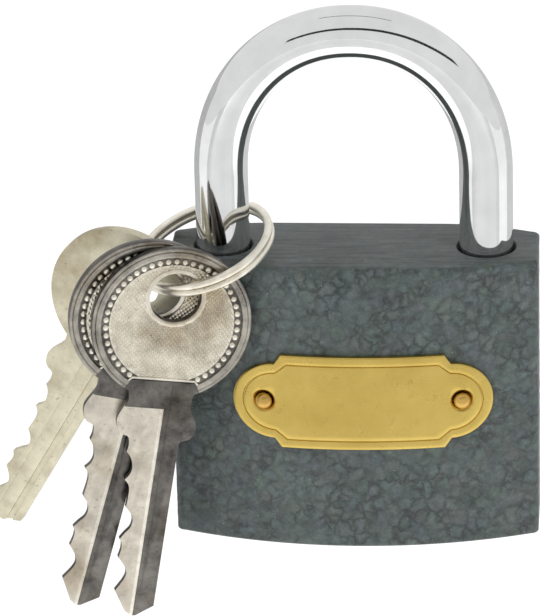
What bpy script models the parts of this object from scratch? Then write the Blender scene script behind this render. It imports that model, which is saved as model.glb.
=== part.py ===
"""Cast iron padlock hanging by its chromed shackle, with a brass name plate, a split ring
and three keys. Millimetres are used below and turned into metres as each mesh is made.
Heights are measured from the body's top face. The origin of the object is the inside of
the shackle's crown, which is what hangs on the hasp."""

import bmesh
import bpy
import math
from mathutils import Matrix, Vector

MM = 0.001

# Shackle: a 7.3 mm bar bent round 35.8 mm between leg centres.
BAR_R = 3.65
LEG_X = 17.9
ARCH_START = 11.0
ARCH_RISE = 20.1
ARCH_POWER = 2.1
BORE_R = 3.85
CROWN_INSIDE = ARCH_START + ARCH_RISE - BAR_R
TOE_END = -11.5
TOE_BORE_END = -12.4
NOTCH_TOP = -3.8
NOTCH_BOTTOM = -9.2
NOTCH_DEEP = 2.3
NECK_R = 2.5
NECK_TOP = -14.0
NECK_BOTTOM = -30.0
HEEL_END = -33.0
HEEL_BORE_END = -38.5

# Body: 50 mm wide, bulged front and back, with a planar bevel along each top edge.
HALF_WIDTH = 25.0
BODY_DEEP = 41.4
SIDE_HALF = 4.82
MIDDLE_HALF = 9.47
TOP_HALF = 7.54
BEVEL_SLOPE = 1.12
EDGE = 0.35
BULGE = MIDDLE_HALF - SIDE_HALF
BULGE_R = (HALF_WIDTH ** 2 + BULGE ** 2) / (2 * BULGE)
BULGE_AXIS_Y = BULGE_R - MIDDLE_HALF

# Cylinder, bolt and pins.
PLUG_X = 2.0
PLUG_R = 5.0
PLUG_BORE_R = 5.12
PLUG_TOP = -9.4
PLUG_BOTTOM = -41.1
CAM_R = 1.1
CAM_OFFSET = 2.2
CAM_TOP = -7.4
BOLT_TIP = LEG_X - BAR_R - 0.3
BOLT_END = 9.0
BOLT_HALF_Y = 3.0
BOLT_LOW = -8.7
BOLT_HIGH = -4.3
CHANNEL_GAP = 0.3
PIN_R = 1.4
CHAMBER_R = 1.55
PIN_HEIGHTS = (-21.4, -24.8, -28.2, -31.6, -35.0)
KEY_PIN_LONG = (3.1, 2.6, 3.3, 2.8, 3.0)
DRIVER_LONG = 4.0
SHACKLE_PIN = (13.9, -16.4, 1.2)
PLUG_PIN = (7.3, -14.2, 1.0)

# Name plate and rivets.
PLATE_X = 1.25
PLATE_Z = -19.2
PLATE_HALF = 11.05
PLATE_HIGH = 6.95
LOBE_X = 11.95
LOBE_R = 5.6
PLATE_GAP = 0.12
PLATE_THICK = 0.7
RIVET_X = 13.35
RIVET_HEAD_R = 1.35
RIVET_SHANK_R = 0.8

# Split ring: two flat turns with a jog where the wire crosses from one to the other.
RING_AT = Vector((-20.04, -3.52, 1.08))
RING_TURN = 214.4
RING_TILT = 19.9
RING_R = 9.15
RING_RADIAL = 1.1
RING_AXIAL = 0.92
RING_HALF_PITCH = 0.49
RING_SWEEP = 678.0
RING_START = 236.0

# Keys: hole centre, the way the bow's top points, the way the front face looks.
KEY_POSES = (
    (Vector((-23.55, -11.88, -2.49)), Vector((0.166, 0.091, 0.982)), Vector((0.249, -0.967, 0.048))),
    (Vector((-26.265, -10.86, -1.97)), Vector((0.268, 0.116, 0.957)), Vector((0.249, -0.967, 0.048))),
    (Vector((-29.34, -4.65, -3.55)), Vector((0.468, -0.202, 0.860)), Vector((-0.342, -0.939, -0.035))),
)
# Where each key hangs on the ring, in degrees round from the ring's lowest point.
KEY_HANGS = (33.2, 18.8, -23.4)
BOW_R = 10.9
HOLE_UP = 3.84
HOLE_R = 3.6
KEY_HALF_THICK = 0.75
SPINE_U = 3.45
STOP_V = -17.0
# Width left at each cut and peak, with the distance from the stop.
KEY_CUTS = ((0.0, 6.9), (3.4, 5.8), (4.6, 6.0), (6.1, 6.35), (7.0, 5.9), (8.0, 5.65), (10.2, 4.95),
            (12.0, 4.6), (13.4, 5.0), (15.0, 5.85), (16.0, 5.75), (18.0, 5.5), (19.4, 4.5),
            (20.3, 4.2), (21.2, 4.5), (22.6, 5.35))
STEP_U = 0.3
STEP_DEEP = 0.45

PAINT = ("body_paint", (0.060, 0.075, 0.080), 0.0, 0.45)
CHROME = ("shackle_chrome", (0.80, 0.80, 0.80), 1.0, 0.08)
BRASS = ("plate_brass", (0.75, 0.55, 0.20), 1.0, 0.28)
PIN_BRASS = ("pin_brass", (0.66, 0.48, 0.20), 1.0, 0.35)
NICKEL = ("key_nickel", (0.66, 0.63, 0.56), 1.0, 0.28)
RING_STEEL = ("ring_steel", (0.60, 0.58, 0.53), 1.0, 0.22)
STEEL = ("steel", (0.45, 0.45, 0.45), 1.0, 0.35)


def set_origin(name, point):
    """Moves an object's own origin to a point, leaving its shape where it is."""
    obj = bpy.data.objects[name]
    place = Vector((point[0], point[1], point[2] - CROWN_INSIDE)) * MM
    obj.data.transform(Matrix.Translation(-place))
    obj.location = place


def hang_together():
    """Puts each moving piece's origin on its joint, and everything under one empty."""
    set_origin("shackle", (LEG_X, 0, HEEL_END))
    set_origin("bolt", (PLUG_X, 0, BOLT_LOW))
    for name in ["plug"] + [f"key_pin_{i + 1}" for i in range(5)]:
        set_origin(name, (PLUG_X, 0, PLUG_BOTTOM))
    down, side = ring_frame()[1:]
    set_origin("split_ring", RING_AT - down * RING_R)
    for i, degrees in enumerate(KEY_HANGS):
        angle = math.radians(degrees)
        out = down * math.cos(angle) + side * math.sin(angle)
        set_origin(f"key_{i + 1}", RING_AT + out * RING_R)
    padlock = bpy.data.objects.new("padlock", None)
    bpy.context.scene.collection.objects.link(padlock)
    for obj in bpy.data.objects:
        if obj.type == "MESH":
            obj.parent = padlock


def clear_scene():
    for obj in list(bpy.data.objects):
        bpy.data.objects.remove(obj, do_unlink=True)


def material(spec):
    name, colour, metallic, roughness = spec
    found = bpy.data.materials.get(name)
    if found:
        return found
    made = bpy.data.materials.new(name)
    made.use_nodes = True
    shader = made.node_tree.nodes["Principled BSDF"]
    shader.inputs["Base Color"].default_value = (*colour, 1.0)
    shader.inputs["Metallic"].default_value = metallic
    shader.inputs["Roughness"].default_value = roughness
    return made


def add_mesh(name, points, faces, spec=None):
    """Makes an object from points in millimetres below or above the body's top face."""
    mesh = bpy.data.meshes.new(name)
    placed = [((p[0]) * MM, (p[1]) * MM, (p[2] - CROWN_INSIDE) * MM) for p in points]
    mesh.from_pydata(placed, [], faces)
    work = bmesh.new()
    work.from_mesh(mesh)
    bmesh.ops.recalc_face_normals(work, faces=work.faces)
    work.to_mesh(mesh)
    work.free()
    mesh.shade_smooth()
    mesh.set_sharp_from_angle(angle=math.radians(32))
    obj = bpy.data.objects.new(name, mesh)
    bpy.context.scene.collection.objects.link(obj)
    if spec:
        mesh.materials.append(material(spec))
    return obj


def cutter(obj):
    obj.hide_render = True
    obj.display_type = "WIRE"
    return obj


def cut(target, tool, operation="DIFFERENCE"):
    cutter(tool)
    modifier = target.modifiers.new(operation.lower() + "_" + tool.name, "BOOLEAN")
    modifier.operation = operation
    modifier.solver = "EXACT"
    modifier.object = tool


def loft(name, rings, spec=None):
    """Joins rings of points, each anticlockwise as seen from the last ring, and caps both ends."""
    count = len(rings[0])
    points = [point for ring in rings for point in ring]
    faces = [list(range(count))[::-1]]
    for r in range(len(rings) - 1):
        for i in range(count):
            j = (i + 1) % count
            faces.append([r * count + i, r * count + j, (r + 1) * count + j, (r + 1) * count + i])
    faces.append([(len(rings) - 1) * count + i for i in range(count)])
    return add_mesh(name, points, faces, spec)


def lathe(name, start, axis, profile, sides, spec=None):
    """Turns (distance along the axis, radius) pairs about the axis."""
    along = Vector(axis).normalized()
    first = along.orthogonal().normalized()
    second = along.cross(first)
    rings = []
    for distance, radius in profile:
        centre = Vector(start) + along * distance
        ring = []
        for i in range(sides):
            angle = 2 * math.pi * i / sides
            ring.append(centre + first * radius * math.cos(angle) + second * radius * math.sin(angle))
        rings.append(ring)
    return loft(name, rings, spec)


def rod(name, start, end, radius, sides, spec=None, chamfer=0.0):
    start = Vector(start)
    end = Vector(end)
    length = (end - start).length
    profile = [(0, radius - chamfer)]
    if chamfer:
        profile += [(chamfer, radius), (length - chamfer, radius)]
    profile += [(length, radius - chamfer)]
    return lathe(name, start, end - start, profile, sides, spec)


def box(name, low, high, spec=None):
    x0, y0, z0 = low
    x1, y1, z1 = high
    rings = [[(x0, y0, z), (x1, y0, z), (x1, y1, z), (x0, y1, z)] for z in (z0, z1)]
    return loft(name, rings, spec)


def half_thickness(x):
    """Half the body's thickness at this distance from its middle plane."""
    return math.sqrt(BULGE_R ** 2 - x ** 2) - BULGE_AXIS_Y


def body_outline(steps, inset, limit):
    """The body's plan outline, drawn in by inset and no thicker than limit each way."""
    front = []
    for i in range(steps + 1):
        x = -HALF_WIDTH + 2 * HALF_WIDTH * i / steps
        y = half_thickness(x) - (1.0 if i in (0, steps) else 0.0)
        front.append((x * (HALF_WIDTH - inset) / HALF_WIDTH, min(y - inset, limit)))
    front.insert(1, (-(HALF_WIDTH - 0.3) + inset, SIDE_HALF - 0.25 - inset))
    front.insert(-1, (HALF_WIDTH - 0.3 - inset, SIDE_HALF - 0.25 - inset))
    return [(x, -y) for x, y in front] + [(x, y) for x, y in reversed(front)]


def body_casting():
    steps = 30
    full = body_outline(steps, 0.0, MIDDLE_HALF)
    top = [(x, y, 0.0) for x, y in body_outline(steps, EDGE, TOP_HALF - EDGE)]
    rim = [(x, y, -EDGE) for x, y in body_outline(steps, 0.0, TOP_HALF)]
    fall = []
    for x, y in full:
        over = max(abs(y) - TOP_HALF, 0.0)
        fall.append((x, y, -EDGE - 0.2 - over * BEVEL_SLOPE))
    low = [(x, y, -BODY_DEEP + EDGE) for x, y in full]
    foot = [(x, y, -BODY_DEEP) for x, y in body_outline(steps, EDGE, MIDDLE_HALF)]
    return loft("lock_body", [foot, low, fall, rim, top], PAINT)


def rivet_line(side):
    """Where a rivet's axis meets the body's front, and the way it points out of it."""
    x = PLATE_X + side * RIVET_X
    slope = math.asin(x / BULGE_R)
    return Vector((x, -half_thickness(x), PLATE_Z)), Vector((math.sin(slope), -math.cos(slope), 0))


def body():
    casting = body_casting()
    toe = (-LEG_X, 0, 1), (-LEG_X, 0, TOE_BORE_END)
    heel = (LEG_X, 0, 1), (LEG_X, 0, HEEL_BORE_END)
    cut(casting, rod("cut_toe_bore", *toe, BORE_R, 40))
    cut(casting, rod("cut_heel_bore", *heel, BORE_R, 40))
    low = (-LEG_X, -BOLT_HALF_Y - CHANNEL_GAP, BOLT_LOW - CHANNEL_GAP)
    high = (BOLT_END + 0.8, BOLT_HALF_Y + CHANNEL_GAP, BOLT_HIGH + CHANNEL_GAP)
    cut(casting, box("cut_bolt_channel", low, high))
    cut(casting, rod("cut_plug_bore", (PLUG_X, 0, -50), (PLUG_X, 0, BOLT_LOW), PLUG_BORE_R, 48))
    for i, z in enumerate(PIN_HEIGHTS):
        chamber = (-30, 0, z), (PLUG_X - 3, 0, z)
        cut(casting, rod(f"cut_chamber_{i + 1}", *chamber, CHAMBER_R, 20))
    for name, (x, z, radius) in (("shackle", SHACKLE_PIN), ("plug", PLUG_PIN)):
        hole = (x, -15, z), (x, 4.5, z)
        cut(casting, rod(f"cut_{name}_pin_hole", *hole, radius + 0.12, 20))
    for side in (-1, 1):
        foot, out = rivet_line(side)
        hole = foot - out * 4.0, foot + out * 5.0
        cut(casting, rod(f"cut_rivet_hole_{side + 1}", *hole, RIVET_SHANK_R + 0.2, 20))


def shackle():
    """A bent bar: the toe on the left has the bolt notch, the heel on the right a long neck."""
    path = [(-LEG_X, TOE_END, BAR_R - 0.6), (-LEG_X, TOE_END + 0.6, BAR_R), (-LEG_X, 4, BAR_R)]
    count = 36
    for i in range(count + 1):
        angle = math.pi * (1 - i / count)
        c = math.cos(angle)
        s = math.sin(angle)
        x = LEG_X * math.copysign(abs(c) ** (2 / ARCH_POWER), c)
        z = ARCH_START + ARCH_RISE * abs(s) ** (2 / ARCH_POWER)
        path.append((x, z, BAR_R))
    path += [(LEG_X, 4, BAR_R), (LEG_X, NECK_TOP, BAR_R), (LEG_X, NECK_TOP - 0.4, NECK_R)]
    path += [(LEG_X, NECK_BOTTOM + 0.4, NECK_R), (LEG_X, NECK_BOTTOM, BAR_R)]
    path += [(LEG_X, HEEL_END + 0.6, BAR_R), (LEG_X, HEEL_END, BAR_R - 0.6)]
    rings = []
    for i, (x, z, radius) in enumerate(path):
        before = path[max(i - 1, 0)]
        after = path[min(i + 1, len(path) - 1)]
        run = Vector((after[0] - before[0], 0, after[1] - before[1])).normalized()
        across = Vector((run.z, 0, -run.x))
        ring = []
        for k in range(28):
            angle = 2 * math.pi * k / 28
            out = across * math.cos(angle) + Vector((0, 1, 0)) * math.sin(angle)
            ring.append(Vector((x, 0, z)) + out * radius)
        rings.append(ring[::-1])
    bar = loft("shackle", rings, CHROME)
    inner = -LEG_X + BAR_R
    notch = (inner - NOTCH_DEEP, -5, NOTCH_BOTTOM), (inner + 2, 5, NOTCH_TOP)
    cut(bar, box("cut_toe_notch", *notch))


def spring(name, start, end, coil_r, wire_r, turns, spec):
    """A helix between two points, with its wire's ends closed."""
    start = Vector(start)
    end = Vector(end)
    along = (end - start).normalized()
    first = along.orthogonal().normalized()
    second = along.cross(first)
    length = (end - start).length - 2 * wire_r
    count = int(turns * 12)
    rings = []
    for i in range(count + 1):
        angle = 2 * math.pi * turns * i / count
        out = first * math.cos(angle) + second * math.sin(angle)
        centre = start + along * (wire_r + length * i / count) + out * coil_r
        ring = []
        for k in range(6):
            turn = 2 * math.pi * k / 6
            ring.append(centre + (out * math.cos(turn) + along * math.sin(turn)) * wire_r)
        rings.append(ring)
    return loft(name, rings, spec)


def plug():
    """The turning cylinder, its keyway, pin holes, groove and the pin that drives the bolt."""
    profile = [(0, PLUG_R - 0.3), (0.3, PLUG_R)]
    groove = PLUG_PIN[1] - PLUG_BOTTOM
    profile += [(groove - 1.3, PLUG_R), (groove - 1.3, 4.0), (groove + 1.3, 4.0), (groove + 1.3, PLUG_R)]
    profile += [(PLUG_TOP - PLUG_BOTTOM, PLUG_R)]
    turned = lathe("plug", (PLUG_X, 0, PLUG_BOTTOM), (0, 0, 1), profile, 48, PIN_BRASS)
    cam = (PLUG_X + CAM_OFFSET, 0, PLUG_TOP - 1), (PLUG_X + CAM_OFFSET, 0, CAM_TOP)
    cut(turned, rod("add_cam", *cam, CAM_R, 20), "UNION")
    cut(turned, box("cut_keyway", (PLUG_X - 1.15, -3.7, -50), (PLUG_X + 1.15, 3.7, -17.5)))
    cut(turned, box("cut_warding", (PLUG_X - 1.6, 1.2, -50), (PLUG_X + 0.5, 2.2, -17.5)))
    for i, z in enumerate(PIN_HEIGHTS):
        hole = (PLUG_X, -1.0, z), (PLUG_X, -7, z)
        cut(turned, rod(f"cut_plug_hole_{i + 1}", *hole, CHAMBER_R, 20))


def bolt():
    """A square bar. The plug's off-centre pin works in the slot across its underside."""
    low = (-BOLT_TIP, -BOLT_HALF_Y, BOLT_LOW)
    high = (BOLT_END, BOLT_HALF_Y, BOLT_HIGH)
    bar = box("bolt", low, high, STEEL)
    middle = PLUG_X + CAM_OFFSET
    slot = (middle - CAM_R - 0.65, -6, BOLT_LOW - 1), (middle + CAM_R + 0.65, 6, CAM_TOP + 0.3)
    cut(bar, box("cut_cam_slot", *slot))


def pin_stacks():
    """Five key pins in the plug, each with its driver, spring and closing plug in the body."""
    for i, z in enumerate(PIN_HEIGHTS):
        n = i + 1
        outer = 4.9
        inner = outer - KEY_PIN_LONG[i]
        profile = [(0, 0.5), (0.6, PIN_R), (outer - inner, PIN_R)]
        lathe(f"key_pin_{n}", (PLUG_X, -inner, z), (0, -1, 0), profile, 16, PIN_BRASS)
        face = PLUG_X - 5.35
        back = face - DRIVER_LONG
        rod(f"driver_pin_{n}", (back, 0, z), (face, 0, z), PIN_R, 16, STEEL, 0.2)
        spring(f"pin_spring_{n}", (back - 0.2, 0, z), (-18.2, 0, z), 1.1, 0.2, 6, STEEL)
        rod(f"chamber_plug_{n}", (-24.85, 0, z), (-18.5, 0, z), CHAMBER_R - 0.1, 20, PAINT)


def retaining_pins():
    for name, (x, z, radius) in (("shackle", SHACKLE_PIN), ("plug", PLUG_PIN)):
        front = -half_thickness(x) + 0.15
        rod(f"{name}_retaining_pin", (x, front, z), (x, 4.2, z), radius, 18, STEEL, 0.2)


def plate_outline():
    """A rectangle whose corners slope out to a half-round lobe on each side."""
    right = [(PLATE_HALF, PLATE_Z + PLATE_HIGH)]
    for i in range(25):
        angle = math.pi / 2 - math.pi * i / 24
        right.append((LOBE_X + LOBE_R * math.cos(angle), PLATE_Z + LOBE_R * math.sin(angle)))
    right.append((PLATE_HALF, PLATE_Z - PLATE_HIGH))
    left = [(-x, z) for x, z in reversed(right)]
    return [(PLATE_X + x, z) for x, z in right + left]


def curved_band(name, near, far, low, high, spec):
    """A sheet that follows the body's bulged front, from near to far in front of it."""
    rings = []
    steps = 44
    for i in range(steps + 1):
        x = -HALF_WIDTH + 2 * HALF_WIDTH * i / steps
        y = half_thickness(x)
        slope = math.asin(x / BULGE_R)
        out = Vector((math.sin(slope), -math.cos(slope), 0))
        base = Vector((x, -y, 0))
        back = base + out * near
        front = base + out * far
        ring = [(back.x, back.y, low), (front.x, front.y, low)]
        ring += [(front.x, front.y, high), (back.x, back.y, high)]
        rings.append(ring)
    return loft(name, rings, spec)


def plate():
    sheet = curved_band("name_plate", PLATE_GAP, PLATE_GAP + PLATE_THICK, -30, -8, BRASS)
    outline = plate_outline()
    rings = [[(x, y, z) for x, z in outline] for y in (-16, -4)]
    blank = loft("keep_plate_outline", rings)
    cut(sheet, blank, "INTERSECT")
    for side in (-1, 1):
        foot, out = rivet_line(side)
        hole = foot - out * 3.0, foot + out * 5.0
        cut(sheet, rod(f"cut_plate_hole_{side + 1}", *hole, RIVET_SHANK_R + 0.2, 20))


def rivets():
    """Round heads on the plate, each with a shank in the body."""
    for name, side in (("rivet_left", -1), ("rivet_right", 1)):
        foot, out = rivet_line(side)
        seat = foot + out * (PLATE_GAP + PLATE_THICK + 0.15)
        profile = [(0, RIVET_SHANK_R - 0.2), (0.4, RIVET_SHANK_R), (4.2, RIVET_SHANK_R), (4.2, RIVET_HEAD_R)]
        for lift, radius in ((0.3, 1.3), (0.6, 1.08), (0.82, 0.72), (0.92, 0.3)):
            profile.append((4.2 + lift, radius))
        lathe(name, seat - out * 4.2, out, profile, 20, BRASS)


def ring_frame():
    turn = math.radians(RING_TURN)
    tilt = math.radians(RING_TILT)
    normal = Vector((math.sin(tilt) * math.cos(turn), math.sin(tilt) * math.sin(turn), math.cos(tilt)))
    down = Vector((math.cos(tilt) * math.cos(turn), math.cos(tilt) * math.sin(turn), -math.sin(tilt)))
    return normal, down, normal.cross(down)


def split_ring():
    normal, down, side = ring_frame()
    count = 132
    rings = []
    for i in range(count + 1):
        swept = RING_SWEEP * i / count
        angle = math.radians(RING_START + swept)
        out = down * math.cos(angle) + side * math.sin(angle)
        cross = min(max((swept - 322.0) / 36.0, 0.0), 1.0)
        level = -math.cos(math.pi * cross) * RING_HALF_PITCH
        centre = RING_AT + out * RING_R + normal * level
        radial = RING_RADIAL / 2
        axial = RING_AXIAL / 2
        corner = 0.55
        shape = ((1, -corner), (1, corner), (corner, 1), (-corner, 1))
        shape += ((-1, corner), (-1, -corner), (-corner, -1), (corner, -1))
        rings.append([centre + out * radial * a + normal * axial * b for a, b in shape])
    loft("split_ring", rings, RING_STEEL)


def key_outline():
    """Bow, neck, shoulders and cut blade, anticlockwise from the right of the neck."""
    points = []
    start = math.asin(4.5 / BOW_R)
    for i in range(45):
        angle = -math.pi / 2 + start + (2 * math.pi - 2 * start) * i / 44
        points.append((BOW_R * math.cos(angle), BOW_R * math.sin(angle)))
    points += [(-4.35, -10.6), (-4.4, -11.6), (-5.2, -13.4), (-5.45, -14.4), (-5.2, -15.6)]
    points += [(-4.6, -16.4), (-3.7, -16.7)]
    for distance, width in KEY_CUTS:
        points.append((SPINE_U - width, STOP_V - distance))
    points += [(-0.4, STOP_V - 25.6), (0.35, STOP_V - 26.1), (1.1, STOP_V - 26.0), (SPINE_U, STOP_V - 24.4)]
    points += [(SPINE_U, STOP_V - 0.2), (3.7, STOP_V + 0.1), (4.8, -16.5), (5.3, -15.8), (5.45, -14.9)]
    points += [(5.3, -13.9), (4.6, -12.6), (4.35, -11.6), (4.35, -10.6)]
    return points


def in_key(pose, u, v, height):
    hole, up, face = pose
    across = up.cross(face).normalized()
    upright = face.cross(across).normalized()
    return hole + across * u + upright * (v - HOLE_UP) + face.normalized() * height


def key_block(name, pose, outline, low, high, spec=None):
    rings = [[in_key(pose, u, v, height) for u, v in outline] for height in (low, high)]
    return loft(name, rings, spec)


def rectangle(u0, u1, v0, v1):
    return [(u0, v0), (u1, v0), (u1, v1), (u0, v1)]


def keys():
    """Keys 1 and 2 show the milled face. Key 3 shows the plain one."""
    for i, pose in enumerate(KEY_POSES):
        n = i + 1
        thick = KEY_HALF_THICK
        blank = key_block(f"key_{n}", pose, key_outline(), -thick, thick, NICKEL)
        hole = [(HOLE_R * math.cos(math.pi * k / 16), HOLE_UP + HOLE_R * math.sin(math.pi * k / 16))
                for k in range(32)]
        cut(blank, key_block(f"cut_key_hole_{n}", pose, hole, -3, 3))
        step = rectangle(-9, STEP_U, -50, -12.3)
        groove = rectangle(1.5, 2.4, -50, -12.3)
        front = (thick - STEP_DEEP, 3)
        back = (-3, STEP_DEEP - thick)
        milled, grooved = (front, back) if n < 3 else (back, front)
        cut(blank, key_block(f"cut_key_step_{n}", pose, step, *milled))
        cut(blank, key_block(f"cut_key_groove_{n}", pose, groove, *grooved))


def main():
    clear_scene()
    body()
    shackle()
    base = HEEL_BORE_END + 0.2
    spring("shackle_spring", (LEG_X, 0, base), (LEG_X, 0, HEEL_END - 0.2), 2.9, 0.4, 4, STEEL)
    plug()
    bolt()
    pin_stacks()
    retaining_pins()
    plate()
    rivets()
    split_ring()
    keys()
    hang_together()


main()
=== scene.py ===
"""Looks for the padlock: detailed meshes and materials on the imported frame.

Shapes are in millimetres, with heights measured from the body's top face. add_mesh turns them
into metres and moves them down, because the model's origin is inside the shackle's crown.
"""

import math

import bmesh
import bpy
from mathutils import Matrix, Vector, noise


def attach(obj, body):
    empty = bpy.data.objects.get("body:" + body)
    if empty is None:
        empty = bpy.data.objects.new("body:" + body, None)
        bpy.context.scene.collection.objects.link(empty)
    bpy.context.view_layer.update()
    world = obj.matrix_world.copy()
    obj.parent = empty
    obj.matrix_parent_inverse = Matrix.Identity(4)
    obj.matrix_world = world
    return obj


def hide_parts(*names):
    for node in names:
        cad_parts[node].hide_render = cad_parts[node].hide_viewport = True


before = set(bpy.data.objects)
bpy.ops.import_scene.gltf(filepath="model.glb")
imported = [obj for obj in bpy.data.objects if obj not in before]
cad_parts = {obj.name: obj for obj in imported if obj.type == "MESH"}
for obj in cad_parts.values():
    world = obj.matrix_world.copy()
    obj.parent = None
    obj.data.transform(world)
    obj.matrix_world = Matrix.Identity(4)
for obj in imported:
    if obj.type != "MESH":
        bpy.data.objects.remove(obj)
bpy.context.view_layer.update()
noise.seed_set(1)  # noise_vector's offsets come from this seed, and from the clock without it

MM = 0.001
CROWN_INSIDE = 27.45  # height of the model's origin

BAR_R = 3.65
LEG_X = 17.9
ARCH_START = 11.0
ARCH_RISE = 20.1
ARCH_POWER = 2.1
BORE_R = 3.85
HEEL_NECK_R = 2.5

HALF_WIDTH = 25.0
BODY_DEEP = 41.4
SIDE_HALF = 4.82
MIDDLE_HALF = 9.47
TOP_HALF = 7.54
BEVEL_SLOPE = 1.12
BULGE = MIDDLE_HALF - SIDE_HALF
BULGE_R = (HALF_WIDTH ** 2 + BULGE ** 2) / (2 * BULGE)
BULGE_AXIS_Y = BULGE_R - MIDDLE_HALF
CORNER_R = 0.9  # of the body's four upright corners
EDGE_R = 0.5  # of its top and bottom edges
TOP_ROWS = 3.2  # height of the band below the top face that has the closest rows

PLUG_X = 2.0
PLUG_R = 5.0
PLUG_BORE_R = 5.12
PLUG_BORE_TOP = -8.7
CHAMBER_R = 1.55
PIN_HEIGHTS = (-21.4, -24.8, -28.2, -31.6, -35.0)

PLATE_X = 1.25
PLATE_Z = -19.2
PLATE_HALF = 11.05
PLATE_HIGH = 6.95
LOBE_X = 11.95
LOBE_R = 5.6
RIVET_X = 13.35
PLATE_UNDER = 0.12  # the plate's back and front, above the body's front face
PLATE_TOP = 0.82

RING_AT = Vector((-20.04, -3.52, 1.08))
RING_TURN = 214.4
RING_TILT = 19.9
RING_R = 9.15
RING_START = 236.0  # degrees, where the wire begins
RING_SWEEP = 678.0  # almost two turns
RING_CROSS = (322.0, 36.0)  # where the wire steps from one coil to the other, and over how far
RING_LEVEL = 0.49
RING_WIRE = (0.55, 0.47)

# Keys: hole centre, the way the bow's top points, the way the front face looks.
FRONT = Vector((0.249, -0.967, 0.048))
KEY_POSES = (
    (Vector((-23.55, -11.88, -2.49)), Vector((0.166, 0.091, 0.982)), FRONT),
    (Vector((-26.265, -10.86, -1.97)), Vector((0.268, 0.116, 0.957)), FRONT),
    (
        Vector((-29.34, -4.65, -3.55)),
        Vector((0.468, -0.202, 0.860)),
        Vector((-0.342, -0.939, -0.035)),
    ),
)
BOW_R = 10.9
HOLE_UP = 3.84
HOLE_R = 3.5
HALF_THICK = 0.75
SPINE_U = 3.45
STOP_V = -17.0
NECK_V = -12.3  # where the milled step and the back's groove begin
STEP_LEVEL = 0.16  # height of the milled step's floor
STEP_U = 0.3
KNURL_R = 8.42
KNURL_FLAT = -8.05  # height of the knurled field's straight lower edge
KNURL_PITCH = 0.42
BEADS = 42
BEAD_CIRCLE_R = 9.02
BEAD_R = 0.46
# The bow's slot also carries the step wall's painted highlight, and the rim's slot carries painted
# shade.
SLOT_BOW_AND_HIGHLIGHT, SLOT_BLANK, SLOT_MILLED, SLOT_RIM_SHADE = range(4)  # a key's material slots
# The blade's edge from its stop to its tip, one run from each ridge to the next, as distance
# from the stop and width from the spine.
KEY_CUTS = (
    ((0.0, 6.9), (1.0, 6.75), (2.0, 6.9)),
    ((2.0, 6.9), (2.7, 6.3), (3.5, 5.95), (4.4, 5.8), (5.2, 5.95), (5.7, 6.25), (6.15, 6.6)),
    ((6.15, 6.6), (6.7, 6.05), (7.4, 5.8), (8.4, 5.75), (9.4, 5.8), (10.2, 5.85)),
    ((10.2, 5.85), (10.8, 5.25), (11.5, 4.8), (12.3, 4.65), (13.2, 4.85), (14.0, 5.45),
     (14.95, 6.05)),
    ((14.95, 6.05), (15.5, 5.7), (16.3, 5.62), (17.1, 5.72), (17.7, 5.85)),
    ((17.7, 5.85), (18.4, 5.2), (19.2, 4.65), (20.0, 4.42), (20.8, 4.6), (21.6, 5.0),
     (22.65, 5.62)),
)


# The stage and the camera, in metres and degrees.
STAGE_MIDDLE = Vector((0, 0, -0.035))
LIGHT_SIDE = 0.5
FLOOR_SIDE = 8.0
FLOOR_Z = -0.5
CAMERA_RISE = 24.96
CAMERA_TURN = 3.476
CAMERA_ROLL = -1.048
CAMERA_AWAY = 0.7095
CAMERA_LENS = 339.7


# ---------------------------------------------------------------- materials

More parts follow.
